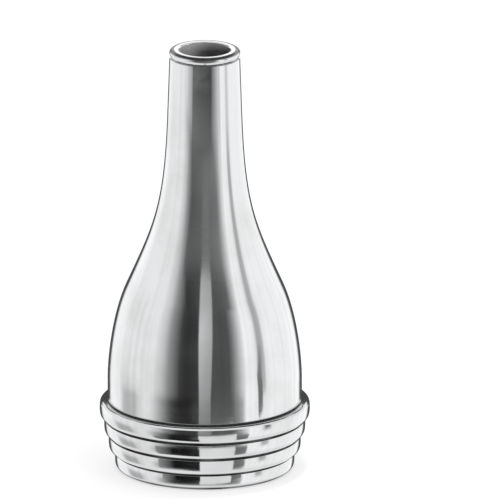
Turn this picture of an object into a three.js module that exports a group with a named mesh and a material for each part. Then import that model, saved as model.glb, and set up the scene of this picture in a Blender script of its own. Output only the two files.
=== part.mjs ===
// Ear speculum: a round plated brass funnel. The narrow tip goes into the ear canal, the ribbed
// collar at the wide end is held between finger and thumb, and the ear is looked into through it.
// Millimetres. The axis is Z, and the origin is the centre of the face that the collar stands on.

import * as THREE from "three";

// Overall
const overallLength = 38;
const sheetWall = 0.5;

// Neck and bell, drawn and spun from one tube
const neckLength = 5;
const neckTaper = THREE.MathUtils.degToRad(2);
const waistSlope = THREE.MathUtils.degToRad(24);
const bellRadius = 8.5;
const skirtHeight = 1.98;
const bellEdge = 0.1;

// Where the flare turns into the shoulder, as shares of the way from the bell to the neck in height
// and from the neck to the bell in radius
const waistHeightShare = 0.346;
const waistRadiusShare = 0.694;

// How far each end of a curve keeps its first direction, as shares of that curve's height
const flareStartShare = 0.54;
const flareEndShare = 0.39;
const shoulderStartShare = 0.36;
const shoulderEndShare = 0.2;

// Lip ring, turned, let into the neck's narrow end
const boreRadius = 2.25;
const lipSpigotWall = 0.3;
const lipEdge = 0.3;
const lipBand = 0.36;
const lipUndercut = 0.07;
const lipBoreEdge = 0.12;
const lipSpigotLength = 1.6;
const lipSpigotRim = 0.12;
const lipReliefLength = 0.7;

// Grip collar, turned, with ribs that step in towards the base
const ribCount = 4;
const ribHeight = 1.52;
const topRibProud = 0.7;
const ribStep = 0.4;
const lowestRibExtraStep = 0.15;
const ribEdge = 0.5;
const ledgeEdge = 0.18;
const grooveWidth = 0.2;
const grooveDepth = 0.15;
const footWidth = 0.45;
const mouthEdge = 0.25;
const spigotRim = 0.35;
const spigotEndGap = 0.1;

// Soldered joints
const spigotClearance = 0.05;
const collarSolderGap = 0.08;
const collarSolderRecess = 0.15;
const lipSolderGap = 0.06;
const lipSolderRecess = 0.03;

// Facets
const facetsRound = 60;
const stepsPerEdge = 4;
const stepsPerCurve = 10;

// Heights worked out from the sizes above
const lipSeat = overallLength - lipEdge - lipBand;
const shellTop = lipSeat - lipSolderGap;
const collarSeat = ribCount * ribHeight;
const shellBottom = collarSeat + collarSolderGap;
const skirtTop = shellBottom + skirtHeight;
const spigotTop = skirtTop - spigotEndGap;

// Radii worked out from the sizes above
const lipSpigotRadius = boreRadius + lipSpigotWall;
const neckBore = lipSpigotRadius + spigotClearance;
const neckRadius = neckBore + sheetWall / Math.cos(neckTaper);
const lipFootRadius = neckRadius - lipUndercut;
const spigotRadius = bellRadius - sheetWall - spigotClearance;
const mouthRadius = ribRadius(0) - ribEdge - footWidth - mouthEdge;

const plated = { color: 0xc9cbcd, metalness: 1, roughness: 0.18 };
const solder = { color: 0x77787a, metalness: 1, roughness: 0.5 };

// Radius of one rib, counted up from the base.
function ribRadius(rib) {
  const topRadius = bellRadius + topRibProud;
  const extra = rib === 0 ? lowestRibExtraStep : 0;
  return topRadius - (ribCount - 1 - rib) * ribStep - extra;
}

function point(radius, height) {
  return new THREE.Vector2(radius, height);
}

// Quarter round between two directions, given as angles from straight outward.
function roundedEdge(radius, height, size, from, to) {
  const points = [];
  for (let step = 0; step <= stepsPerEdge; step += 1) {
    const angle = from + (to - from) * step / stepsPerEdge;
    points.push(point(radius + size * Math.cos(angle), height + size * Math.sin(angle)));
  }
  return points;
}

// A solid of revolution. Its outline runs up the outside and down the inside, and closes on itself.
function turned(name, outline, finish) {
  const geometry = new THREE.LatheGeometry([...outline, outline[0]], facetsRound);
  geometry.rotateX(Math.PI / 2);
  const mesh = new THREE.Mesh(geometry, new THREE.MeshStandardMaterial(finish));
  mesh.name = name;
  return mesh;
}

// Direction of the outline at a slope away from straight down, outward positive.
function heading(slope) {
  return point(Math.sin(slope), -Math.cos(slope));
}

// One curve of the funnel, leaving and arriving along the given slopes.
function funnelCurve(start, startSlope, startShare, end, endSlope, endShare) {
  const height = start.y - end.y;
  const leave = start.clone().addScaledVector(heading(startSlope), startShare * height);
  const arrive = end.clone().addScaledVector(heading(endSlope), -endShare * height);
  return new THREE.CubicBezierCurve(start, leave, arrive, end);
}

// Outside of the funnel from the tip down, and the inside one wall in from it, square to the sheet.
function funnelWalls() {
  const tip = point(neckRadius, shellTop);
  const neckEnd = tip.clone().addScaledVector(heading(neckTaper), neckLength);
  const skirt = point(bellRadius, skirtTop);
  const waist = point(
    THREE.MathUtils.lerp(neckEnd.x, skirt.x, waistRadiusShare),
    THREE.MathUtils.lerp(skirt.y, neckEnd.y, waistHeightShare));
  const curves = [
    funnelCurve(neckEnd, neckTaper, flareStartShare, waist, waistSlope, flareEndShare),
    funnelCurve(waist, waistSlope, shoulderStartShare, skirt, 0, shoulderEndShare),
  ];
  const outside = [tip];
  const inside = [point(neckBore, shellTop)];
  curves.forEach((curve, index) => {
    for (let step = Math.min(index, 1); step <= stepsPerCurve; step += 1) {
      const place = curve.getPoint(step / stepsPerCurve);
      const along = curve.getTangent(step / stepsPerCurve);
      outside.push(place);
      inside.push(point(place.x + sheetWall * along.y, place.y - sheetWall * along.x));
    }
  });
  return { outside, inside };
}

function funnelShell() {
  const { outside, inside } = funnelWalls();
  const foot = [
    point(bellRadius - sheetWall, shellBottom),
    point(bellRadius - bellEdge, shellBottom),
    point(bellRadius, shellBottom + bellEdge),
  ];
  return turned("funnel_shell", [...foot, ...outside.reverse(), ...inside], plated);
}

function lipRing() {
  const outline = [
    point(lipSpigotRadius - lipSpigotRim, lipSeat - lipSpigotLength),
    point(lipSpigotRadius, lipSeat - lipSpigotLength),
    point(lipSpigotRadius, lipSeat),
    point(lipFootRadius, lipSeat),
    ...roundedEdge(neckRadius - lipEdge, overallLength - lipEdge, lipEdge, 0, Math.PI / 2),
    ...roundedEdge(
      boreRadius + lipBoreEdge, overallLength - lipBoreEdge, lipBoreEdge, Math.PI / 2, Math.PI),
    point(boreRadius, lipSeat - lipSpigotLength + lipReliefLength),
  ];
  return turned("lip_ring", outline, plated);
}

// One rib: a straight side over a rounded lower edge, and a cut groove where the next one starts.
function ribOutline(rib) {
  const radius = ribRadius(rib);
  const bottom = rib * ribHeight;
  const top = bottom + ribHeight;
  const lowerEdge = roundedEdge(radius - ribEdge, bottom + ribEdge, ribEdge, -Math.PI / 2, 0);
  if (rib === ribCount - 1) {
    const upperEdge = roundedEdge(radius - ledgeEdge, top - ledgeEdge, ledgeEdge, 0, Math.PI / 2);
    return [...lowerEdge, ...upperEdge];
  }
  return [
    ...lowerEdge,
    point(radius, top - grooveWidth),
    point(radius - grooveDepth, top - grooveWidth),
    point(radius - grooveDepth, top),
  ];
}

// Ribs up to the ledge, then the spigot and the mouth. The ledge has an edge ring just outside the
// bell, because inside it the ledge is covered and outside it the ledge is a face to rest on.
function gripCollar() {
  const ribs = Array.from({ length: ribCount }, (_, rib) => ribOutline(rib));
  const outline = [
    ...ribs.flat(),
    point(bellRadius + bellEdge, collarSeat),
    point(spigotRadius, collarSeat),
    point(spigotRadius, spigotTop),
    point(spigotRadius - spigotRim, spigotTop),
    point(mouthRadius, collarSeat),
    ...roundedEdge(mouthRadius + mouthEdge, mouthEdge, mouthEdge, -Math.PI, -Math.PI / 2),
  ];
  return turned("grip_collar", outline, plated);
}

// A flat ring of solder between two faces, inside the outer surface of the joint.
function solderRing(name, innerRadius, outerRadius, bottom, top) {
  const outline = [
    point(innerRadius, bottom),
    point(outerRadius, bottom),
    point(outerRadius, top),
    point(innerRadius, top),
  ];
  return turned(name, outline, solder);
}

const collarSolderRadius = bellRadius - collarSolderRecess;
const lipSolderRadius = lipFootRadius - lipSolderRecess;

const speculum = new THREE.Group();
speculum.add(funnelShell());
speculum.add(lipRing());
speculum.add(gripCollar());
speculum.add(solderRing("collar_solder", spigotRadius, collarSolderRadius, collarSeat, shellBottom));
speculum.add(solderRing("lip_solder", lipSpigotRadius, lipSolderRadius, shellTop, lipSeat));

export default speculum;
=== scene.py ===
"""Ear speculum: a turned and spun funnel of plated brass, standing on its ribbed grip collar."""

import math

import bpy
import numpy as np
from bpy.props import FloatProperty, FloatVectorProperty, IntProperty, PointerProperty
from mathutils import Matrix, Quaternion, Vector


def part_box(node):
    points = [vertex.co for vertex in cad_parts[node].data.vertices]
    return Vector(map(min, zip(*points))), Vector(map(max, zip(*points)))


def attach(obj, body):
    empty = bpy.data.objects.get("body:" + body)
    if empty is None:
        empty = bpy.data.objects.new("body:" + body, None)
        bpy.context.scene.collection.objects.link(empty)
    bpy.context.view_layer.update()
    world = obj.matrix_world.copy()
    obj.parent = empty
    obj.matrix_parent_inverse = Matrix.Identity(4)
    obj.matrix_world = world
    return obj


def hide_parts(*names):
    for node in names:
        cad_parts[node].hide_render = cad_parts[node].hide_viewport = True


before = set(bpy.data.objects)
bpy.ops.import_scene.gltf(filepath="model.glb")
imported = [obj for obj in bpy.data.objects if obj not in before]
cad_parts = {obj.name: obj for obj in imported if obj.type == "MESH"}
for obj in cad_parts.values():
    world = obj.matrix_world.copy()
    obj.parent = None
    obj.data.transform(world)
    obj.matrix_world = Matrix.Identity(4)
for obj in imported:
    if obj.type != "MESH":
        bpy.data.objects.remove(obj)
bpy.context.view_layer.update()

bl_info = {
    "name": "Ear speculum",
    "version": (1, 0, 0),
    "blender": (4, 5, 0),
    "location": "View3D > Sidebar > Speculum",
    "description": "Builds a plated ear speculum and the small studio it stands in",
    "category": "Add Mesh",
}

MM = 0.001
BODY = "root"
# V in every UV map counts lengths of 100 mm.
UV_LENGTH = 100 * MM
SHELL_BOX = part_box("funnel_shell")
LIP_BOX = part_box("lip_ring")
COLLAR_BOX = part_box("grip_collar")
COLLAR_SOLDER_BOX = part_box("collar_solder")
LIP_SOLDER_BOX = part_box("lip_solder")

# How much dark film a place holds, from none at 0 to full at 1. It is real tarnish at hidden seams
# and corners, tarnish with painted shade in the grooves and in the seam under the bell, painted shade
# on the ledge by the bell, round the lip's edge and under the foot's edge, and a darkening at the
# bell's lower edge. The solder material multiplies it by its grain, which is 0.5 on average, so there
# it may be over 1.
GROOVE_TARNISH_AND_SHADE = 1
RIM_SHADE = 0.8
LEDGE_CORNER_SHADE = 0.7
SEAM_DIRT = 0.6
BELL_EDGE_DARKENING = 0.3
HIDDEN_DIRT = 0.1
SOLDER_TARNISH_AND_SHADE = 1.5

# Where painted shade fades over round an edge, told by how far the surface faces up or down, from 0
# to 1: the painted dark ring on the lip starts at one value and grows this fast, and the painted
# contact shade under the foot's edge starts at one value and is full this much further on.
RIM_SHADE_START, RIM_SHADE_GROWTH = 0.3, 2
FOOT_SHADE_START, FOOT_SHADE_FADE = 0.35, 0.2

# How far a surface has to face the axis, from 0 to 1, to be a piece's unpolished inside.
FUNNEL_INSIDE = 0.5
LIP_INSIDE = 0.9
COLLAR_INSIDE = 0.7

# Solder's rounded outer corners, as a share of its height, and its uneven edge, as waves round the
# ring: how many, and the angle at which they start.
SOLDER_ROUNDING = 0.45
SOLDER_WAVES = ((3, 0.4), (7, 2.1), (16, 4.0))

# Sizes and depths of the patterns in the metal. The real turning rings are about 0.05 mm apart, too
# fine for the render, so they are drawn at about 0.25 mm. The hairline scratches lie at a slant, as
# turns about X, Y and Z in radians.
RING_PITCH = 0.25 * MM
RING_DEPTH = 0.002 * MM
SMUDGE_SIZE = 4 * MM
HAIR_PITCH = 0.3 * MM
HAIR_LENGTH = 4.2 * MM
HAIR_SLANT = (0.5, 0.25, 0)
HAIR_DEPTH = 0.002 * MM
SOLDER_GRAIN = 0.1 * MM
PIT_DEPTH = 0.01 * MM

# Least and most roughness of clean plating and of solder, and what haze, scratches, the unpolished
# inside and tarnish add to the plating's.
CLEAN_ROUGHNESS = (0.09, 0.14)
SOLDER_ROUGHNESS = (0.4, 0.65)
HAZE_ROUGHNESS = 0.04
HAIR_ROUGHNESS = 0.06
INSIDE_ROUGHNESS = 0.2
TARNISH_ROUGHNESS = 0.35

# Shares of the light that haze and the unpolished inside scatter as a matt surface does.
HAZE_SCATTER = 0.06
INSIDE_SCATTER = 0.5


def srgb(code):
    """Linear red, green and blue of an sRGB colour written as six hex digits."""
    channels = np.array([int(code[i:i + 2], 16) for i in (0, 2, 4)]) / 255
    return tuple(np.where(channels <= 0.04045, channels / 12.92, ((channels + 0.055) / 1.055) ** 2.4))


def length(name, description, default):
    """A size in metres, shown in the scene's own unit."""
    return FloatProperty(
        name=name, description=description, default=default, min=0, precision=6, unit="LENGTH")


def angle(name, description, degrees):
    """An angle, held in radians."""
    return FloatProperty(
        name=name, description=description, default=math.radians(degrees), subtype="ANGLE")


def share(name, description, default):
    """A share of another size, from 0 to 1."""
    return FloatProperty(
        name=name, description=description, default=default, min=0, max=1, subtype="FACTOR")


def colour(name, description, code):
    """A linear colour, from an sRGB hex code."""
    return FloatVectorProperty(
        name=name, description=description, default=srgb(code), size=3, min=0, max=1, subtype="COLOR")


class FunnelSizes(bpy.types.PropertyGroup):
    """Neck and bell, one drawn tube."""

    bell_radius: length("Bell radius", "Outside of the bell's straight skirt", SHELL_BOX[1].x)
    bottom: length("Bottom", "Height of the bell's lower edge", SHELL_BOX[0].z)
    top: length("Top", "Height of the neck's cut end", SHELL_BOX[1].z)
    wall: length("Wall", "Thickness of the sheet", 0.5 * MM)
    neck_length: length("Neck length", "Nearly straight part under the lip", 5 * MM)
    neck_taper: angle("Neck taper", "How much the neck opens on each side", 2)
    waist_slope: angle("Waist slope", "Slope where the flare turns into the shoulder", 24)
    skirt_height: length("Skirt height", "Straight part at the bell's lower edge", 1.98 * MM)
    edge: length("Edge", "Rounding of the bell's lower edge", 0.1 * MM)
    waist_height: share("Waist height", "Way up from the skirt to the neck", 0.346)
    waist_radius: share("Waist radius", "Way out from the neck to the skirt", 0.694)
    flare_start: share("Flare start", "Straightness of the flare under the neck", 0.54)
    flare_end: share("Flare end", "Straightness of the flare at the waist", 0.39)
    shoulder_start: share("Shoulder start", "Straightness of the shoulder at the waist", 0.36)
    shoulder_end: share("Shoulder end", "Straightness of the shoulder at the skirt", 0.2)


class LipSizes(bpy.types.PropertyGroup):
    """Turned ring in the neck's narrow end."""

    radius: length("Radius", "Outside of the lip, flush with the neck", LIP_BOX[1].x)
    bottom: length("Bottom", "Height of the spigot's lower end", LIP_BOX[0].z)
    top: length("Top", "Height of the lip's flat face", LIP_BOX[1].z)
    seat: length("Seat", "Height of the shoulder over the neck's end", LIP_SOLDER_BOX[1].z)
    bore_radius: length("Bore radius", "Half the opening's width", 2.25 * MM)
    spigot_wall: length("Spigot wall", "Thickness of the spigot round the bore", 0.3 * MM)
    spigot_rim: length("Spigot rim", "Thickness of the spigot's lower end", 0.12 * MM)
    relief: length("Relief", "Height over which the bore opens inside", 0.7 * MM)
    edge: length("Edge", "Height of the lip's rounded outer edge", 0.3 * MM)
    edge_width: length("Edge width", "Width of the lip's rounded outer edge", 0.34 * MM)
    # The dull ring is painted shade round the lip's outer edge.
    rim_shade_width: length("Rim stain", "Width of the dull ring round the lip's outer edge", 0.4 * MM)
    wall_lean: angle("Wall lean", "How far the lip's side leans in towards the neck", 23)
    bore_edge: length("Bore edge", "Rounding of the opening's edge", 0.12 * MM)


class CollarSizes(bpy.types.PropertyGroup):
    """Turned grip collar under the bell."""

    top_radius: length("Top radius", "Outside of the top rib", COLLAR_BOX[1].x)
    seat: length("Seat", "Height of the ledge", COLLAR_SOLDER_BOX[0].z)
    spigot_top: length("Spigot top", "Height of the spigot inside the bell", COLLAR_BOX[1].z)
    ribs: IntProperty(name="Ribs", description="Number of stepped ribs", default=4, min=1)
    rib_step: length("Rib step", "How far each rib stands in from the one above", 0.4 * MM)
    lowest_step: length("Lowest step", "How much more the lowest rib stands in", 0.15 * MM)
    rib_edge: length("Rib edge", "Rounding of each rib's lower edge", 0.5 * MM)
    ledge_edge: length("Ledge edge", "Rounding of the ledge's outer edge", 0.3 * MM)
    groove_width: length("Groove width", "Height of the cut between two ribs", 0.2 * MM)
    groove_depth: length("Groove depth", "Depth of the cut between two ribs", 0.15 * MM)
    rib_crown: angle("Rib crown", "How far the ends of each rib's side lean in", 8)
    foot_width: length("Foot width", "Flat ring that the collar stands on", 0.45 * MM)
    mouth_edge: length("Mouth edge", "Rounding of the wide end's inner edge", 0.25 * MM)
    spigot_rim: length("Spigot rim", "Thickness of the spigot's upper end", 0.35 * MM)
    spigot_clearance: length("Spigot clearance", "Gap between spigot and bell", 0.05 * MM)


class FineSizes(bpy.types.PropertyGroup):
    """How finely the surfaces are made, and the small edges of every turned piece."""

    facets: IntProperty(name="Facets", description="Facets round the axis", default=192, min=12)
    curve_steps: IntProperty(name="Curve steps", description="Steps down each curve", default=64)
    arc_steps: IntProperty(name="Arc steps", description="Steps on each rounded edge", default=10)
    broken_edge: length("Broken edge", "Rounding where the tool only breaks an edge", 0.03 * MM)
    solder_waviness: length("Solder waviness", "How uneven the solder's outer edge is", 0.03 * MM)


class Finish(bpy.types.PropertyGroup):
    """Colours of the metals and of the stage."""

    plating: colour("Plating", "Polished nickel plating", "CACBCC")
    haze: colour("Haze", "Plating dulled by handling", "BBBBBA")
    bore: colour("Bore", "Unpolished plating inside the tube", "5A5A5A")
    # Also the colour of painted shade in grooves, on the ledge by the bell, round the lip's edge, under
    # the foot's edge and in the seam under the bell.
    tarnish_and_shade: colour("Tarnish", "Dark film held in grooves and seams", "2E2C2A")
    solder: colour("Solder", "Grey tin and lead solder", "C6C6C8")
    floor: colour("Floor", "Plain pale floor", "F7F7F7")


def add_node(tree, kind, inputs=None, **settings):
    """Adds a node, sets its properties, and sets or links its inputs."""
    node = tree.nodes.new(kind)
    for name, value in settings.items():
        setattr(node, name, value)
    for socket, value in (inputs or {}).items():
        if isinstance(value, bpy.types.NodeSocket):
            tree.links.new(value, node.inputs[socket])
        else:
            node.inputs[socket].default_value = value
    return node


def direction(slope):
    """Direction down the outline at a slope away from straight down, as radius and height."""
    return np.array([math.sin(slope), -math.cos(slope)])


def cubic_run(start, start_slope, start_share, end, end_slope, end_share, steps):
    """Points and outward normals of one cubic curve from start down to end. The curve is the usual
    blend of four points, and its middle two lie along the end slopes, at shares of its height. The
    normal is the curve's derivative turned a quarter turn outward."""
    height = start[1] - end[1]
    p0, p3 = np.array(start), np.array(end)
    p1 = p0 + start_share * height * direction(start_slope)
    p2 = p3 - end_share * height * direction(end_slope)
    t = np.linspace(0, 1, steps + 1)[:, None]
    points = (1 - t) ** 3 * p0 + 3 * (1 - t) ** 2 * t * p1 + 3 * (1 - t) * t ** 2 * p2 + t ** 3 * p3
    along = (1 - t) ** 2 * (p1 - p0) + 2 * (1 - t) * t * (p2 - p1) + t ** 2 * (p3 - p2)
    along /= np.linalg.norm(along, axis=1, keepdims=True)
    return points, np.stack([-along[:, 1], along[:, 0]], axis=1)


def rounded_corner(before, corner, after, radius, steps):
    """Points and outward normals of the arc that rounds one corner of an outline. The arc touches
    both sides, and its normal turns evenly from one side's normal to the other's."""
    before, corner, after = map(np.array, (before, corner, after))
    arriving = (corner - before) / np.linalg.norm(corner - before)
    leaving = (after - corner) / np.linalg.norm(after - corner)
    turn = math.atan2(
        arriving[0] * leaving[1] - arriving[1] * leaving[0], float(arriving @ leaving))
    side = math.copysign(1, turn)
    normal = np.array([arriving[1], -arriving[0]])
    start = corner - arriving * radius * math.tan(abs(turn) / 2)
    centre = start - side * radius * normal
    t = np.linspace(0, turn, steps + 1)
    normals = np.stack([
        normal[0] * np.cos(t) - normal[1] * np.sin(t),
        normal[0] * np.sin(t) + normal[1] * np.cos(t)], axis=1)
    return centre + side * radius * normals, normals


def tangent_arcs(bottom, radius, height, lower_edge, upper_edge, lean, steps):
    """Points and outward normals of one rib's side: a rounded lower edge, a slightly crowned wall and
    a rounded upper edge, as three arcs that touch. The wall's arc stands out most at the given
    radius and leans in by the same angle at both ends, so its own radius is the height left between
    the edges over twice the sine of that angle. Each arc's centre lies on the line from the wall's
    centre through the point where they touch."""
    sine = math.sin(lean)
    wall = (height - (lower_edge + upper_edge) * (1 - sine)) / (2 * sine)
    centre = np.array([radius - wall, bottom + lower_edge + (wall - lower_edge) * sine])
    points, normals = [], []
    for size, start, end in (
            (lower_edge, -math.pi / 2, -lean), (wall, -lean, lean), (upper_edge, lean, math.pi / 2)):
        side = -lean if start < -lean else lean
        middle = centre + (wall - size) * np.array([math.cos(side), math.sin(side)])
        t = np.linspace(start, end, steps + 1)[:-1 if end < math.pi / 2 else None]
        facing = np.stack([np.cos(t), np.sin(t)], axis=1)
        points.append(middle + size * facing)
        normals.append(facing)
    return np.vstack(points), np.vstack(normals)


def oval_edge(radius, top, width, height, lean, steps):
    """Points and outward normals of an oval edge, from a side that leans in below it up to a flat
    top. A point is the oval's centre plus the width times the cosine and the height times the sine,
    and its normal is the cosine over the width and the sine over the height. The first angle's
    tangent is the lean's, times the height over the width, so the oval starts along the side."""
    t = np.linspace(-math.atan(height / width * math.tan(lean)), math.pi / 2, steps + 1)
    points = np.stack(
        [radius - width + width * np.cos(t), top - height + height * np.sin(t)], axis=1)
    normals = np.stack([np.cos(t) / width, np.sin(t) / height], axis=1)
    return points, normals / np.linalg.norm(normals, axis=1, keepdims=True)


def spot(radius, height, facing, dirt_and_shade):
    """A single point on a straight stretch of an outline, where the amount of dark film, tarnish and
    painted shade alike, changes.
    """
    return np.array([[radius, height]]), np.array([facing]), dirt_and_shade


def outline(elements, steps):
    """Joins corners and curves into one closed outline. An element is a corner (radius, height,
    rounding, darkness) or a curve (points, normals, darkness), where darkness says how much dark
    film the place holds, as tarnish, as painted shade or both. Returns points, normals and that
    darkness, one row a point."""
    def first(element):
        return element[0][0] if isinstance(element[0], np.ndarray) else element[:2]

    def last(element):
        return element[0][-1] if isinstance(element[0], np.ndarray) else element[:2]

    points, normals, dirt_and_shade = [], [], []
    for index, element in enumerate(elements):
        if isinstance(element[0], np.ndarray):
            run, facing, amount = element
        else:
            before = last(elements[index - 1])
            after = first(elements[(index + 1) % len(elements)])
            run, facing = rounded_corner(before, element[:2], after, element[2], steps)
            amount = element[3]
        points.append(run)
        normals.append(facing)
        dirt_and_shade.append(np.broadcast_to(amount, len(run)))
    return np.vstack(points), np.vstack(normals), np.concatenate(dirt_and_shade)


def turned_piece(name, points, normals, dirt_and_shade, inside, facets, wobble=0.0):
    """Closed surface of revolution. A point of the grid is the outline's radius times the cosine and
    sine of the angle, at the outline's height; the outline's normal turns with it. wobble takes a
    little off the radius of the outer points, as a sum of waves round the ring. The UV map holds the
    turn as U and the way along the outline as V."""
    turn = np.linspace(0, 2 * math.pi, facets, endpoint=False)
    rows = len(points)
    waves = sum(np.cos(count * turn + phase) for count, phase in SOLDER_WAVES)
    most = len(SOLDER_WAVES)
    outer = points[:, 0] > 0.5 * (points[:, 0].min() + points[:, 0].max())
    radius = points[None, :, 0] - wobble * (most - waves)[:, None] / (2 * most) * outer[None, :]
    grid = np.empty((facets, rows, 3))
    grid[..., 0] = radius * np.cos(turn)[:, None]
    grid[..., 1] = radius * np.sin(turn)[:, None]
    grid[..., 2] = points[None, :, 1]
    facing = np.empty((facets, rows, 3))
    facing[..., 0] = normals[None, :, 0] * np.cos(turn)[:, None]
    facing[..., 1] = normals[None, :, 0] * np.sin(turn)[:, None]
    facing[..., 2] = normals[None, :, 1]

    i, j = np.meshgrid(np.arange(facets), np.arange(rows), indexing="ij")
    i_next, j_next = (i + 1) % facets, (j + 1) % rows
    quads = np.stack([
        i * rows + j, i_next * rows + j, i_next * rows + j_next, i * rows + j_next], axis=-1)
    steps = np.linalg.norm(np.diff(points, axis=0, append=points[:1]), axis=1)
    along = np.concatenate([[0], np.cumsum(steps)]) / UV_LENGTH
    uv = np.stack([
        np.stack([i, i + 1, i + 1, i], axis=-1) / facets,
        np.stack([along[j], along[j], along[j + 1], along[j + 1]], axis=-1)], axis=-1)

    mesh = bpy.data.meshes.new(name)
    mesh.from_pydata(grid.reshape(-1, 3), [], quads.reshape(-1, 4).tolist())
    mesh.uv_layers.new(name="UVMap").data.foreach_set("uv", uv.astype(np.float32).ravel())
    for attribute, values in (("dirt_and_shade", dirt_and_shade), ("inside", inside)):
        layer = mesh.attributes.new(attribute, "FLOAT", "POINT")
        layer.data.foreach_set("value", np.tile(values, facets).astype(np.float32))
    mesh.shade_smooth()
    mesh.normals_split_custom_set_from_vertices(facing.reshape(-1, 3).tolist())
    mesh.validate()
    piece = bpy.data.objects.new(name, mesh)
    bpy.context.scene.collection.objects.link(piece)
    return piece


def finish_piece(piece, node, material):
    """Puts a piece in the place of its solid, on the one body, with its material."""
    piece.data.materials.append(material)
    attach(piece, BODY)
    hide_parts(node)


def plated_piece(name, node, shape, inward, facets):
    """A turned piece of plated brass. Its unpolished inside is where it faces the axis by more than
    inward."""
    points, normals, dirt_and_shade = shape
    inside = (normals[:, 0] < -inward).astype(float)
    piece = turned_piece(name, points, normals, dirt_and_shade, inside, facets)
    finish_piece(
        piece, node, shared_material("polished_nickel_plate", plated_material))


def funnel_outline(sizes, fine):
    """Up the outside from the lower edge to the neck's end, then down the inside."""
    skirt = (sizes.bell_radius, sizes.bottom + sizes.skirt_height)
    neck_drop = sizes.neck_length * direction(sizes.neck_taper)
    neck_radius = LIP_BOX[1].x
    neck_end = np.array([neck_radius, sizes.top]) + neck_drop
    waist = (
        neck_end[0] + sizes.waist_radius * (skirt[0] - neck_end[0]),
        skirt[1] + sizes.waist_height * (neck_end[1] - skirt[1]))
    flare, flare_normals = cubic_run(
        neck_end, sizes.neck_taper, sizes.flare_start,
        waist, sizes.waist_slope, sizes.flare_end, fine.curve_steps)
    shoulder, shoulder_normals = cubic_run(
        waist, sizes.waist_slope, sizes.shoulder_start,
        skirt, 0, sizes.shoulder_end, fine.curve_steps)
    outside = np.vstack([flare, shoulder[1:]])
    normals = np.vstack([flare_normals, shoulder_normals[1:]])
    inside = outside - sizes.wall * normals
    neck_bore = neck_radius - sizes.wall / math.cos(sizes.neck_taper)
    edge = fine.broken_edge
    # The bell's lower edge is darker, from its rounding up to a little above it.
    plain_from = sizes.bottom + 1.6 * sizes.edge
    return outline([
        (sizes.bell_radius - sizes.wall, sizes.bottom, edge, SEAM_DIRT),
        (sizes.bell_radius, sizes.bottom, sizes.edge, BELL_EDGE_DARKENING),
        spot(sizes.bell_radius, plain_from, (1, 0), 0),
        (outside[::-1], normals[::-1], 0),
        (neck_radius, sizes.top, edge / 2, 0),
        (neck_bore, sizes.top, edge, HIDDEN_DIRT),
        (inside, -normals, 0),
    ], fine.arc_steps)


def lip_outline(sizes, fine):
    """Up the spigot, out over the neck's end, round the lip and down the bore."""
    spigot = sizes.bore_radius + sizes.spigot_wall
    edge = fine.broken_edge
    rim, facing = oval_edge(
        sizes.radius, sizes.top, sizes.edge_width, sizes.edge, sizes.wall_lean,
        2 * fine.arc_steps)
    foot = rim[0, 0] - (rim[0, 1] - sizes.seat) * math.tan(sizes.wall_lean)
    # Painted shade as a dark ring round the lip: full where the rounded edge faces upward, fading out
    # down its side, and reaching in over the flat face as far as the ring's width.
    rim_shade_amount = np.clip(RIM_SHADE_GROWTH * (facing[:, 1] - RIM_SHADE_START), 0, RIM_SHADE)
    rim_shade_from = sizes.radius - sizes.rim_shade_width
    return outline([
        (spigot - sizes.spigot_rim, sizes.bottom, edge, 0),
        (spigot, sizes.bottom, edge, 0),
        (spigot, sizes.seat, edge / 3, SEAM_DIRT),
        (foot, sizes.seat, edge / 2, 0),
        (rim, facing, rim_shade_amount),
        spot(rim_shade_from, sizes.top, (0, 1), RIM_SHADE),
        spot(rim_shade_from - edge, sizes.top, (0, 1), 0),
        (sizes.bore_radius, sizes.top, sizes.bore_edge, 0),
        (sizes.bore_radius, sizes.bottom + sizes.relief, sizes.bore_edge, 0),
    ], fine.arc_steps)


def rib_radius(sizes, rib):
    """Outside of one rib, counted up from the base."""
    return sizes.top_radius - (sizes.ribs - 1 - rib) * sizes.rib_step - (rib == 0) * sizes.lowest_step


def collar_outline(sizes, fine):
    """Up the ribs from the foot, over the ledge, up the spigot and down the mouth."""
    rib_height = sizes.seat / sizes.ribs
    edge = fine.broken_edge
    elements = []
    for rib in range(sizes.ribs):
        radius, bottom = rib_radius(sizes, rib), rib * rib_height
        top = rib == sizes.ribs - 1
        height = rib_height if top else rib_height - sizes.groove_width
        points, normals = tangent_arcs(
            bottom, radius, height, sizes.rib_edge, sizes.ledge_edge if top else edge,
            sizes.rib_crown, fine.arc_steps)
        # Painted shade on the foot's edge where it turns under: the dark contact line along the floor.
        foot_shade = np.clip((-normals[:, 1] - FOOT_SHADE_START) / FOOT_SHADE_FADE, 0, 1) if rib == 0 else 0
        elements.append((points, normals, foot_shade))
        if not top:
            # The grooves are darkened with tarnish and with painted shade in the cut.
            elements.append((radius - sizes.groove_depth, bottom + height, edge, GROOVE_TARNISH_AND_SHADE))
            elements.append((radius - sizes.groove_depth, bottom + rib_height, edge, GROOVE_TARNISH_AND_SHADE))
    bell = SHELL_BOX[1].x
    # Painted shade on the ledge close to the bell, in the corner under it; further out the ledge is
    # plain.
    plain_from = bell + 3 * edge
    spigot = bell - bpy.context.scene.funnel_sizes.wall - sizes.spigot_clearance
    mouth = rib_radius(sizes, 0) - sizes.rib_edge - sizes.foot_width - sizes.mouth_edge
    elements += [
        spot(plain_from, sizes.seat, (0, 1), 0),
        spot(bell, sizes.seat, (0, 1), LEDGE_CORNER_SHADE),
        (spigot, sizes.seat, edge, GROOVE_TARNISH_AND_SHADE),
        (spigot, sizes.spigot_top, edge, 0),
        (spigot - sizes.spigot_rim, sizes.spigot_top, edge, 0),
        (mouth, sizes.seat, sizes.mouth_edge, 0),
        (mouth, 0, sizes.mouth_edge, 0),
    ]
    return outline(elements, fine.arc_steps)


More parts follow.
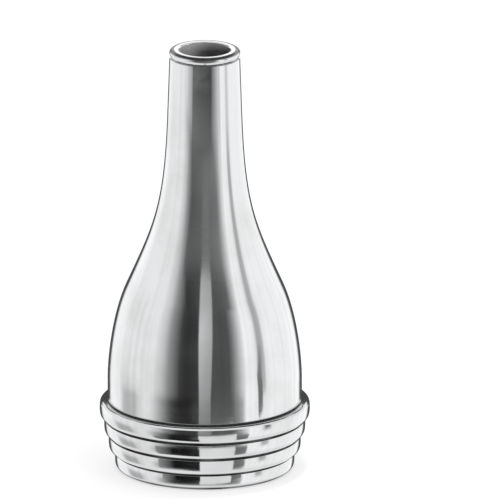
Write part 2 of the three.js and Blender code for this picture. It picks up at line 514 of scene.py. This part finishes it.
def solder_outline(box, inner_radius, dirt_and_shade, fine):
    """A flat ring of solder with soft outer corners, as high and as wide as its solid."""
    low, high = box
    outer_radius = high.x
    edge = SOLDER_ROUNDING * (high.z - low.z)
    return outline([
        (inner_radius, low.z, fine.broken_edge / 3, dirt_and_shade),
        (outer_radius, low.z, edge, dirt_and_shade),
        (outer_radius, high.z, edge, dirt_and_shade),
        (inner_radius, high.z, fine.broken_edge / 3, dirt_and_shade),
    ], fine.arc_steps)


def empty_material(name):
    """A new material without nodes, and its node tree."""
    material = bpy.data.materials.new(name)
    material.use_nodes = True
    material.node_tree.nodes.clear()
    return material, material.node_tree


def plated_material(finish):
    """Polished nickel plating over turned brass. The lathe leaves fine rings round the axis, which
    draw reflections out along the axis and keep their sides sharp. Handling leaves a faint haze and
    hairline scratches, and the inside was never polished. A dark film marks tarnish and painted
    shade: in grooves, at seams, on the ledge by the bell, round the lip's edge and under the foot."""
    material, tree = empty_material("polished_nickel_plate")
    place = add_node(tree, "ShaderNodeTexCoord")
    uv = add_node(tree, "ShaderNodeUVMap", uv_map="UVMap")
    dirt_and_shade = add_node(tree, "ShaderNodeAttribute", attribute_name="dirt_and_shade")
    inside = add_node(tree, "ShaderNodeAttribute", attribute_name="inside")

    # Turning rings, by the way along the outline.
    along = add_node(tree, "ShaderNodeSeparateXYZ", {0: uv.outputs["UV"]})
    rings = add_node(tree, "ShaderNodeTexNoise", {
        "W": along.outputs["Y"], "Scale": UV_LENGTH / RING_PITCH, "Detail": 3, "Roughness": 0.6},
        noise_dimensions="1D")

    # Haze from fingers, in soft patches.
    smudge = add_node(tree, "ShaderNodeTexNoise", {
        "Vector": place.outputs["Object"], "Scale": 1 / SMUDGE_SIZE, "Detail": 3, "Roughness": 0.55})
    haze = add_node(tree, "ShaderNodeMapRange", {
        "Value": smudge.outputs["Fac"], "From Min": 0.42, "From Max": 0.78, "To Max": 0.7})

    # Hairline scratches: a noise stretched along its slant, of which only the peaks show.
    slant = add_node(tree, "ShaderNodeMapping", {
        "Vector": place.outputs["Object"], "Rotation": HAIR_SLANT,
        "Scale": (1 / HAIR_PITCH, 1 / HAIR_PITCH, 1 / HAIR_LENGTH)})
    hairs = add_node(tree, "ShaderNodeTexNoise", {
        "Vector": slant.outputs["Vector"], "Scale": 1, "Detail": 2, "Roughness": 0.7})
    scratch = add_node(tree, "ShaderNodeMapRange", {
        "Value": hairs.outputs["Fac"], "From Min": 0.68, "From Max": 0.78})

    clean = add_node(tree, "ShaderNodeMix", {
        "Factor": haze.outputs["Result"], 6: (*finish.plating, 1), 7: (*finish.haze, 1)},
        data_type="RGBA")
    bored = add_node(tree, "ShaderNodeMix", {
        "Factor": inside.outputs["Fac"], 6: clean.outputs[2], 7: (*finish.bore, 1)}, data_type="RGBA")

    # Tarnish and painted shade creep a little out of the grooves and edges in uneven patches.
    creep = add_node(tree, "ShaderNodeMapRange", {
        "Value": smudge.outputs["Fac"], "From Min": 0.2, "From Max": 0.6, "To Min": 0.6})
    film_and_shade = add_node(tree, "ShaderNodeMath", {
        0: dirt_and_shade.outputs["Fac"], 1: creep.outputs["Result"]}, operation="MULTIPLY", use_clamp=True)
    stained_and_shaded = add_node(tree, "ShaderNodeMix", {
        "Factor": film_and_shade.outputs["Value"], 6: bored.outputs[2], 7: (*finish.tarnish_and_shade, 1)},
        data_type="RGBA")

    polish = add_node(tree, "ShaderNodeMapRange", {
        "Value": rings.outputs["Fac"], "From Min": 0.25, "From Max": 0.75,
        "To Min": CLEAN_ROUGHNESS[0], "To Max": CLEAN_ROUGHNESS[1]})
    hazy = add_node(tree, "ShaderNodeMath", {
        0: haze.outputs["Result"], 1: HAZE_ROUGHNESS, 2: polish.outputs["Result"]},
        operation="MULTIPLY_ADD")
    worn = add_node(tree, "ShaderNodeMath", {
        0: scratch.outputs["Result"], 1: HAIR_ROUGHNESS, 2: hazy.outputs["Value"]},
        operation="MULTIPLY_ADD")
    dull = add_node(tree, "ShaderNodeMath", {
        0: inside.outputs["Fac"], 1: INSIDE_ROUGHNESS, 2: worn.outputs["Value"]},
        operation="MULTIPLY_ADD")
    rough = add_node(tree, "ShaderNodeMath", {
        0: film_and_shade.outputs["Value"], 1: TARNISH_ROUGHNESS, 2: dull.outputs["Value"]},
        operation="MULTIPLY_ADD", use_clamp=True)

    # What is scattered isn't mirrored, so it comes off the metal's share.
    matt = add_node(tree, "ShaderNodeMath", {
        0: haze.outputs["Result"], 1: HAZE_SCATTER}, operation="MULTIPLY")
    scatter = add_node(tree, "ShaderNodeMath", {
        0: inside.outputs["Fac"], 1: INSIDE_SCATTER, 2: matt.outputs["Value"]},
        operation="MULTIPLY_ADD")
    shine = add_node(tree, "ShaderNodeMath", {0: 1, 1: scatter.outputs["Value"]}, operation="SUBTRACT")

    # Rings and scratches as relief. The rings also spread reflections across themselves.
    ring_relief = add_node(tree, "ShaderNodeBump", {
        "Height": rings.outputs["Fac"], "Strength": 0.25, "Distance": RING_DEPTH})
    relief = add_node(tree, "ShaderNodeBump", {
        "Height": scratch.outputs["Result"], "Strength": 0.3, "Distance": HAIR_DEPTH,
        "Normal": ring_relief.outputs["Normal"]}, invert=True)
    around = add_node(tree, "ShaderNodeTangent", direction_type="UV_MAP", uv_map="UVMap")
    metal = add_node(tree, "ShaderNodeBsdfPrincipled", {
        "Base Color": stained_and_shaded.outputs[2], "Metallic": shine.outputs["Value"],
        "Roughness": rough.outputs["Value"], "Anisotropic": 0.8, "Anisotropic Rotation": 0.25,
        "Normal": relief.outputs["Normal"], "Tangent": around.outputs["Tangent"]})
    add_node(tree, "ShaderNodeOutputMaterial", {"Surface": metal.outputs["BSDF"]})
    return material


def solder_material(finish):
    """Tin and lead solder, wiped off flush: soft grey, dull, with a fine pitted grain."""
    material, tree = empty_material("wiped_solder")
    place = add_node(tree, "ShaderNodeTexCoord")
    grain = add_node(tree, "ShaderNodeTexNoise", {
        "Vector": place.outputs["Object"], "Scale": 1 / SOLDER_GRAIN, "Detail": 2})
    dirt_and_shade = add_node(tree, "ShaderNodeAttribute", attribute_name="dirt_and_shade")
    # Darkened by tarnish and by painted shade wherever the seam's attribute says so, unevenly by the
    # grain.
    film_and_shade = add_node(tree, "ShaderNodeMath", {
        0: dirt_and_shade.outputs["Fac"], 1: grain.outputs["Fac"]}, operation="MULTIPLY")
    tint = add_node(tree, "ShaderNodeMix", {
        "Factor": film_and_shade.outputs["Value"], 6: (*finish.solder, 1), 7: (*finish.tarnish_and_shade, 1)},
        data_type="RGBA")
    rough = add_node(tree, "ShaderNodeMapRange", {
        "Value": grain.outputs["Fac"], "To Min": SOLDER_ROUGHNESS[0], "To Max": SOLDER_ROUGHNESS[1]})
    pits = add_node(tree, "ShaderNodeBump", {
        "Height": grain.outputs["Fac"], "Strength": 0.5, "Distance": PIT_DEPTH})
    metal = add_node(tree, "ShaderNodeBsdfPrincipled", {
        "Base Color": tint.outputs[2], "Metallic": 1, "Roughness": rough.outputs["Result"],
        "Normal": pits.outputs["Normal"]})
    add_node(tree, "ShaderNodeOutputMaterial", {"Surface": metal.outputs["BSDF"]})
    return material


def shared_material(name, make):
    """The material of that name, made the first time that a piece asks for it."""
    return bpy.data.materials.get(name) or make(bpy.context.scene.speculum_finish)


class SPECULUM_OT_funnel_shell(bpy.types.Operator):
    """Neck and bell: one tube, drawn and spun, polished outside"""

    bl_idname = "speculum.funnel_shell"
    bl_label = "Funnel Shell"

    def execute(self, context):
        sizes, fine = context.scene.funnel_sizes, context.scene.fine_sizes
        plated_piece(
            "funnel", "funnel_shell", funnel_outline(sizes, fine), FUNNEL_INSIDE, fine.facets)
        return {"FINISHED"}


class SPECULUM_OT_lip_ring(bpy.types.Operator):
    """Lip ring: turned, with a rounded edge, let into the neck's end"""

    bl_idname = "speculum.lip_ring"
    bl_label = "Lip Ring"

    def execute(self, context):
        sizes, fine = context.scene.lip_sizes, context.scene.fine_sizes
        plated_piece("lip", "lip_ring", lip_outline(sizes, fine), LIP_INSIDE, fine.facets)
        return {"FINISHED"}


class SPECULUM_OT_grip_collar(bpy.types.Operator):
    """Grip collar: turned, with stepped ribs and cut grooves"""

    bl_idname = "speculum.grip_collar"
    bl_label = "Grip Collar"

    def execute(self, context):
        sizes, fine = context.scene.collar_sizes, context.scene.fine_sizes
        plated_piece(
            "collar", "grip_collar", collar_outline(sizes, fine), COLLAR_INSIDE, fine.facets)
        return {"FINISHED"}


class SPECULUM_OT_solder_rings(bpy.types.Operator):
    """Solder rings: thin uneven seams under the bell and under the lip"""

    bl_idname = "speculum.solder_rings"
    bl_label = "Solder Rings"

    def execute(self, context):
        scene, fine = context.scene, context.scene.fine_sizes
        material = shared_material("wiped_solder", solder_material)
        collar_spigot = (
            scene.funnel_sizes.bell_radius - scene.funnel_sizes.wall
            - scene.collar_sizes.spigot_clearance)
        lip = scene.lip_sizes
        lip_spigot = lip.bore_radius + lip.spigot_wall
        # The seam under the lip is wiped clean, and the one under the bell is darkened with tarnish and
        # with painted shade in its recess.
        for name, node, box, spigot, amount in (
                ("collar_seam", "collar_solder", COLLAR_SOLDER_BOX, collar_spigot, SOLDER_TARNISH_AND_SHADE),
                ("lip_seam", "lip_solder", LIP_SOLDER_BOX, lip_spigot, 0)):
            points, normals, dirt_and_shade = solder_outline(box, spigot, amount, fine)
            piece = turned_piece(
                name, points, normals, dirt_and_shade, np.zeros(len(points)), fine.facets,
                wobble=fine.solder_waviness)
            finish_piece(piece, node, material)
        return {"FINISHED"}


# The stage. Angles are degrees: round the axis from the camera, positive to the right, and up from
# the horizon. A tone is the sRGB grey, from 0 to 1, that polished plating shows when it mirrors a
# panel or card.
CAMERA_ELEVATION = 16.5
PIXELS_PER_MM = 11.43
AXIS_COLUMN = 204.75
BASE_ROW = 465.6
FRAME_PIXELS = 500
CAMERA_DISTANCE = 0.6

# Tall panels round the speculum, each from one edge to the other, or only one place, with its tone.
# Between two panels the light fades over. LOW_PANELS are the tones near the floor.
PANELS = (
    (-180, -156, 0.25), (-149, -126, 0.95), (-118, -66, 0.90), (-54, 0.78), (-43, 0.53), (-31, 0.25),
    (-25, -14, 0.19), (8, 30, 0.29), (37, 0.52), (46, 0.80), (51, 65, 0.94), (69, 76, 0.66),
    (79, 149, 0.94), (156, 180, 0.25),
)
LOW_PANELS = (
    (-180, -156, 0.25), (-149, -122, 0.92), (-112, -93, 0.66), (-80, -71, 0.90), (-52, 0.48),
    (-41, 0.16), (-36, -18, 0.05), (11, 32, 0.31), (46, 0.58), (51, 149, 0.94), (156, 180, 0.25),
)
FLOOR_TONE = 0.87
CEILING_TONE = 0.16

# Angles over the horizon between which the floor fades into the low panels, those into the upper
# ones, and the upper ones into the ceiling.
FLOOR_FADE = (-33, -26)
LOW_FADE = (-18, -10)
CEILING_FADE = (37, 42)

# Faint folds in the panels' cloth: degrees from one to the next, and least and most brightness.
FOLD_TURN = 6
FOLD_SHADE = (0.92, 1.04)

# Brightness of the even light, which only matt surfaces get, at the horizon and straight above.
EVEN_LIGHT = (0.4, 1.6)

# Upright cards near the metal, in millimetres: the way that the card lies from the axis, how far off,
# and row by row its left and right edge, its height and the tones at the two edges. Only reflections
# show them.
CARDS = {
    "strip_card": (0, 15, (
        (-1.3, 1.3, 3.9, 0.50, 0.44), (-1.3, 1.3, 7.5, 0.62, 0.56), (-1.5, 1.9, 15.0, 0.77, 0.65),
        (-1.6, 2.4, 24.2, 0.68, 0.62), (-0.6, 1.5, 25.2, 0.32, 0.34))),
    "low_card": (0, 15, ((-1.3, 7.3, -3.0, 0.86, 0.86), (-1.3, 7.3, 3.6, 0.86, 0.86))),
    "rib_card": (0, 12, ((-5.8, -0.8, -0.4, 0.05, 0.10), (-5.8, -0.8, 3.5, 0.05, 0.10))),
    "rib_left_card": (-50, 12, ((2.5, 5.5, -0.4, 0.52, 0.05), (2.5, 5.5, 3.5, 0.52, 0.05))),
    "rib_right_card": (0, 12, ((5.4, 8.4, -0.4, 0.38, 0.46), (5.4, 8.4, 3.5, 0.38, 0.46))),
    "line_card": (0, 9, (
        (9.4, 12.7, 4.9, 0.41, 0.41), (9.0, 12.2, 8.2, 0.42, 0.42), (8.8, 11.6, 9.7, 0.46, 0.46),
        (10.9, 14.0, 13.1, 0.60, 0.60))),
    "neck_card": (0, 15.1, (
        (-5.3, 8.5, 21.4, 0.16, 0.33), (-8.0, 8.6, 24.6, 0.17, 0.35), (-10.5, 7.8, 26.2, 0.35, 0.48),
        (-10.8, 4.6, 28.5, 0.44, 0.36), (-11.0, 5.2, 31.5, 0.39, 0.30), (-11.0, 5.4, 35.0, 0.24, 0.12))),
    "neck_side_card": (0, 15.1, (
        (8.5, 13.0, 21.4, 0.33, 0.86), (8.6, 13.5, 24.6, 0.37, 0.88), (7.8, 14.0, 26.2, 0.50, 0.90),
        (4.6, 13.4, 28.5, 0.40, 0.82), (5.4, 13.4, 36.0, 0.32, 0.80))),
    "neck_left_card": (0, 15.1, ((-24, -10.8, 27.8, 0.88, 0.60), (-24, -11, 36.0, 0.88, 0.60))),
    "far_left_card": (-100, 25, ((-8, 9, 22.5, 0.89, 0.91), (-8, 9, 34.0, 0.91, 0.91))),
    "tip_card": (180, 12, ((-8, 8, 40.3, 0.98, 0.98), (-8, 8, 46.0, 0.98, 0.98))),
}
# Level cards, lit on the underside: inner and outer radius, height, from and to which angle round the
# axis, and tone. One lies over the ledge, and a dark one with a pale patch over the tip. Each goes
# round in this many steps.
LEVEL_CARD_STEPS = 40
LEVEL_CARDS = {
    "ledge_card": (9.6, 16.5, 8.0, -118, 118, 0.88),
    "tip_canopy": (0, 6.5, 41.0, -180, 180, 0.14),
    "tip_patch": (0.8, 4.4, 40.9, 140, 220, 0.92),
}
# Lamps: place and aim in millimetres, size in millimetres and power in watts. One reaches into the
# left of the opening, and a low one grazes the upper edge of the bore at the back.
LAMPS = {
    "tip_lamp": ((11, -1, 43), (-2, 0, 37.3), 6, 0.009),
    "rim_lamp": ((0, -9, 38.6), (0, 2.2, 37.8), 1.2, 0.003),
}
# Sheets of the floor: half the width, how far under the foot, both in metres, and whether the metal
# mirrors it. Paper glows with this strength, and the glow makes up this share of its light.
FLOOR_SHEETS = {
    "floor": (3.0, 0.0, False),
    "floor_in_mouth": (4.5 * MM, 0.01 * MM, True),
}
PAPER_GLOW = 1.1
PAPER_GLOW_SHARE = 0.6


def grey(tone):
    """Linear brightness of an sRGB grey from 0 to 1."""
    return ((tone + 0.055) / 1.055) ** 2.4


def grey_light(tone, gain):
    """Colour of a light of that tone, made brighter by the gain."""
    return (*[grey(tone) * gain] * 3, 1)


def panel_ramp(tree, place, panels, gain):
    """A colour ramp round the horizon, with one stop at each edge of each panel."""
    ramp = add_node(tree, "ShaderNodeValToRGB", {"Fac": place})
    stops = [(edge, tone) for *edges, tone in panels for edge in edges]
    for index, (degrees, tone) in enumerate(stops):
        position = (degrees + 180) / 360
        if index < 2:
            stop = ramp.color_ramp.elements[index]
            stop.position = position
        else:
            stop = ramp.color_ramp.elements.new(position)
        stop.color = grey_light(tone, gain)
    return ramp.outputs["Color"]


def fade(tree, height, degrees, below, above):
    """Mixes two lights, the first below both angles and the second above both. height is the sine of
    the angle over the horizon."""
    start, end = (math.sin(math.radians(edge)) for edge in degrees)
    factor = add_node(tree, "ShaderNodeMapRange", {
        "Value": height, "From Min": start, "From Max": end}, interpolation_type="SMOOTHSTEP")
    return add_node(tree, "ShaderNodeMix", {
        "Factor": factor.outputs["Result"], 6: below, 7: above}, data_type="RGBA").outputs[2]


def studio_world(finish):
    """Even soft light for the floor, and for the metal's reflections a ring of tall pale and dark
    panels, a pale floor below them and a dark ceiling above."""
    world = bpy.data.worlds.new("studio")
    bpy.context.scene.world = world
    world.use_nodes = True
    tree = world.node_tree
    tree.nodes.clear()
    # Plating mirrors only part of the light, so panels are this much brighter than their tones.
    gain = 1 / finish.plating[1]
    way = add_node(tree, "ShaderNodeTexCoord")
    axes = add_node(tree, "ShaderNodeSeparateXYZ", {0: way.outputs["Generated"]})
    forward = add_node(tree, "ShaderNodeMath", {0: axes.outputs["Y"], 1: -1}, operation="MULTIPLY")
    round_turn = add_node(tree, "ShaderNodeMath", {
        0: axes.outputs["X"], 1: forward.outputs["Value"]}, operation="ARCTAN2")
    share_of_turn = add_node(tree, "ShaderNodeMapRange", {
        "Value": round_turn.outputs["Value"], "From Min": -math.pi, "From Max": math.pi})
    place = share_of_turn.outputs["Result"]
    height = axes.outputs["Z"]
    folds = add_node(tree, "ShaderNodeTexNoise", {
        "W": place, "Scale": 360 / FOLD_TURN, "Detail": 2}, noise_dimensions="1D")
    shade = add_node(tree, "ShaderNodeMapRange", {
        "Value": folds.outputs["Fac"], "From Min": 0.3, "From Max": 0.7,
        "To Min": FOLD_SHADE[0], "To Max": FOLD_SHADE[1]})
    walls = fade(
        tree, height, LOW_FADE,
        panel_ramp(tree, place, LOW_PANELS, gain), panel_ramp(tree, place, PANELS, gain))
    cloth = add_node(tree, "ShaderNodeMix", {
        "Factor": 1, 6: walls, 7: shade.outputs["Result"]}, data_type="RGBA", blend_type="MULTIPLY")
    ground = fade(tree, height, FLOOR_FADE, grey_light(FLOOR_TONE, gain), cloth.outputs[2])
    room = fade(tree, height, CEILING_FADE, ground, grey_light(CEILING_TONE, gain))
    ray = add_node(tree, "ShaderNodeLightPath")
    overhead = add_node(tree, "ShaderNodeMapRange", {
        "Value": height, "To Min": EVEN_LIGHT[0], "To Max": EVEN_LIGHT[1]})
    seen = add_node(tree, "ShaderNodeMix", {
        "Factor": ray.outputs["Is Glossy Ray"], 6: overhead.outputs["Result"], 7: room},
        data_type="RGBA")
    light = add_node(tree, "ShaderNodeBackground", {"Color": seen.outputs[2], "Strength": 1})
    add_node(tree, "ShaderNodeOutputWorld", {"Surface": light.outputs["Background"]})


def card_material(finish):
    """A card that glows on its front, as brightly as its tone attribute says. Its back lets the light
    past."""
    material, tree = empty_material("lit_card")
    side = add_node(tree, "ShaderNodeNewGeometry")
    tone = add_node(tree, "ShaderNodeAttribute", attribute_name="tone")
    glow = add_node(tree, "ShaderNodeEmission", {
        "Color": tone.outputs["Fac"], "Strength": 1 / finish.plating[1]})
    clear = add_node(tree, "ShaderNodeBsdfTransparent")
    card = add_node(tree, "ShaderNodeMixShader", {
        "Fac": side.outputs["Backfacing"], 1: glow.outputs["Emission"], 2: clear.outputs["BSDF"]})
    add_node(tree, "ShaderNodeOutputMaterial", {"Surface": card.outputs["Shader"]})
    return material


def lit_card(name, left, right, tones):
    """A card between two edges, given as rows of points in millimetres, with a tone for each point,
    the left ones first. Each cell joins two rows."""
    rows = len(left)
    low = np.arange(rows - 1)
    cells = np.stack([low, low + 1, low + rows + 1, low + rows], axis=1)
    card = stage_sheet(name, np.concatenate([left, right]) * MM, cells)
    layer = card.data.attributes.new("tone", "FLOAT", "POINT")
    layer.data.foreach_set("value", grey(tones).astype(np.float32))
    card.data.materials.append(shared_material("lit_card", card_material))
    card.visible_camera = card.visible_diffuse = card.visible_shadow = False
    card.visible_transmission = card.visible_volume_scatter = False


def studio_cards():
    """Upright cards, which face the speculum, and level ones, which face down. A point of an upright
    card is its distance along its own direction, plus its place across that, plus its height."""
    for name, (degrees, distance, rows) in CARDS.items():
        turn = math.radians(degrees)
        out = np.array([math.sin(turn), -math.cos(turn), 0])
        across = np.array([math.cos(turn), math.sin(turn), 0])
        left, right, height, left_tone, right_tone = np.array(rows).T[:, :, None]
        base = distance * out + height * np.array([0, 0, 1])
        lit_card(
            name, base + left * across, base + right * across,
            np.concatenate([left_tone, right_tone]).ravel())
    for name, (inner, outer, height, start, end, tone) in LEVEL_CARDS.items():
        turn = np.radians(np.linspace(start, end, LEVEL_CARD_STEPS + 1))
        rim = np.stack([np.sin(turn), -np.cos(turn), np.zeros(len(turn))], axis=1)
        level = np.array([0, 0, height])
        lit_card(name, inner * rim + level, outer * rim + level, np.full(2 * len(turn), tone))


def stage_sheet(name, points, cells):
    """A sheet of the stage from points in metres and cells of four."""
    mesh = bpy.data.meshes.new(name)
    mesh.from_pydata(points.tolist(), [], cells.tolist())
    sheet = bpy.data.objects.new(name, mesh)
    bpy.context.scene.collection.objects.link(sheet)
    return sheet


def floor_material(finish):
    """Matt pale paper on a light table, which keeps the shadow on it faint."""
    material, tree = empty_material("pale_paper")
    paper = add_node(tree, "ShaderNodeBsdfDiffuse", {"Color": (*finish.floor, 1)})
    glow = add_node(tree, "ShaderNodeEmission", {
        "Color": (*finish.floor, 1), "Strength": PAPER_GLOW})
    lit = add_node(tree, "ShaderNodeMixShader", {
        "Fac": PAPER_GLOW_SHARE, 1: paper.outputs["BSDF"], 2: glow.outputs["Emission"]})
    add_node(tree, "ShaderNodeOutputMaterial", {"Surface": lit.outputs["Shader"]})
    return material


def studio_floor(finish):
    """A wide floor that the metal doesn't mirror, and a small patch inside the mouth that it does."""
    material = floor_material(finish)
    corners = np.array([(-1, -1, 0), (1, -1, 0), (1, 1, 0), (-1, 1, 0)])
    for name, (half, drop, mirrored) in FLOOR_SHEETS.items():
        sheet = stage_sheet(
            name, half * corners - np.array([0, 0, drop]), np.arange(4)[None, :])
        sheet.data.materials.append(material)
        sheet.visible_glossy = mirrored


def studio_lamps():
    """Small soft lamps at the tip, which reflections don't show."""
    for name, (place, aim, size, energy) in LAMPS.items():
        data = bpy.data.lights.new(name, "AREA")
        data.size = size * MM
        data.energy = energy
        lamp = bpy.data.objects.new(name, data)
        bpy.context.scene.collection.objects.link(lamp)
        lamp.location = Vector(place) * MM
        lamp.rotation_mode = "QUATERNION"
        lamp.rotation_quaternion = (Vector(place) - Vector(aim)).to_track_quat("Z", "Y")
        lamp.visible_glossy = False


def studio_camera():
    """A view without perspective, from the front and a little above, framed as the picture is."""
    data = bpy.data.cameras.new("camera")
    data.type = "ORTHO"
    data.ortho_scale = FRAME_PIXELS / PIXELS_PER_MM * MM
    camera = bpy.data.objects.new("camera", data)
    bpy.context.scene.collection.objects.link(camera)
    rise = math.radians(CAMERA_ELEVATION)
    back = Vector((0, -math.cos(rise), math.sin(rise)))
    up = Vector((0, math.sin(rise), math.cos(rise)))
    half = FRAME_PIXELS / 2
    across = (half - AXIS_COLUMN) / PIXELS_PER_MM * MM
    above = (BASE_ROW - half) / PIXELS_PER_MM * MM
    camera.location = Vector((across, 0, 0)) + above * up + CAMERA_DISTANCE * back
    camera.rotation_mode = "QUATERNION"
    camera.rotation_quaternion = Quaternion((1, 0, 0), math.pi / 2 - rise)
    bpy.context.scene.camera = camera


class SPECULUM_OT_stage(bpy.types.Operator):
    """Stage: pale floor, soft studio light and the camera"""

    bl_idname = "speculum.stage"
    bl_label = "Stage"

    def execute(self, context):
        finish = context.scene.speculum_finish
        studio_world(finish)
        studio_cards()
        studio_lamps()
        studio_floor(finish)
        studio_camera()
        context.scene.view_settings.view_transform = "Standard"
        return {"FINISHED"}


OPERATORS = (
    SPECULUM_OT_funnel_shell,
    SPECULUM_OT_lip_ring,
    SPECULUM_OT_grip_collar,
    SPECULUM_OT_solder_rings,
    SPECULUM_OT_stage,
)
GROUPS = {
    "funnel_sizes": FunnelSizes,
    "lip_sizes": LipSizes,
    "collar_sizes": CollarSizes,
    "fine_sizes": FineSizes,
    "speculum_finish": Finish,
}


class SPECULUM_PT_panel(bpy.types.Panel):
    """Lists the speculum's pieces, sizes and colours"""

    bl_label = "Ear Speculum"
    bl_idname = "SPECULUM_PT_panel"
    bl_space_type = "VIEW_3D"
    bl_region_type = "UI"
    bl_category = "Speculum"

    def draw(self, context):
        for operator in OPERATORS:
            self.layout.operator(operator.bl_idname)
        for name, group in GROUPS.items():
            box = self.layout.box()
            box.label(text=group.__doc__)
            for key in group.__annotations__:
                box.prop(getattr(context.scene, name), key)


def register():
    for group in GROUPS.values():
        bpy.utils.register_class(group)
    for name, group in GROUPS.items():
        setattr(bpy.types.Scene, name, PointerProperty(type=group))
    for operator in OPERATORS:
        bpy.utils.register_class(operator)
    bpy.utils.register_class(SPECULUM_PT_panel)


def unregister():
    bpy.utils.unregister_class(SPECULUM_PT_panel)
    for operator in reversed(OPERATORS):
        bpy.utils.unregister_class(operator)
    for name, group in reversed(GROUPS.items()):
        delattr(bpy.types.Scene, name)
        bpy.utils.unregister_class(group)


def main():
    register()
    bpy.ops.speculum.funnel_shell()
    bpy.ops.speculum.lip_ring()
    bpy.ops.speculum.grip_collar()
    bpy.ops.speculum.solder_rings()
    bpy.ops.speculum.stage()


if __name__ == "__main__":
    main()
